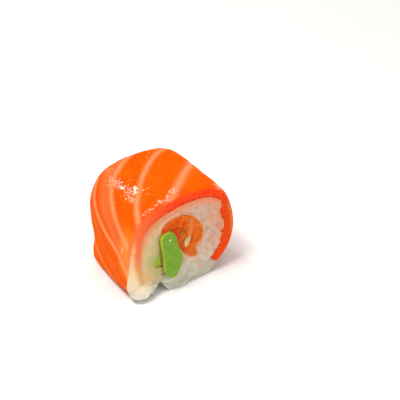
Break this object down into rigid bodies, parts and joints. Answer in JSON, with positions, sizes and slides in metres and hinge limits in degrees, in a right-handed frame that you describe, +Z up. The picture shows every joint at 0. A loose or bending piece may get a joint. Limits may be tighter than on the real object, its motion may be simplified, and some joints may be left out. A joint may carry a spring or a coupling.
{
  "type": "salmon-wrapped maki roll",
  "caption": "Sushi rice roll wrapped in raw salmon, with a core of avocado and folded salmon that shows at the upright cut faces; lies on its bare rice underside.",
  "frame": {"origin": "under the middle of the roll's box, on the surface that it lies on", "axes": "+Z up; Y along the roll's axis, with the front cut face towards -Y; +X to the right as seen from the front"},
  "size_m": [0.0448, 0.033, 0.0414],
  "materials": {
    "salmon": "wet raw salmon with pale fat stripes",
    "rice": "moist cooked sushi rice",
    "salmon_cut": "moist cut salmon",
    "avocado": "smooth moist avocado",
    "avocado_pale": "smooth moist avocado, pale"
  },
  "bodies": {
    "root": {"salmon_wrap": "salmon", "rice": "rice", "salmon_strip": "salmon_cut", "avocado_slice": "avocado", "avocado_offcut": "avocado", "avocado_sliver": "avocado_pale"}
  },
  "joints": []
}
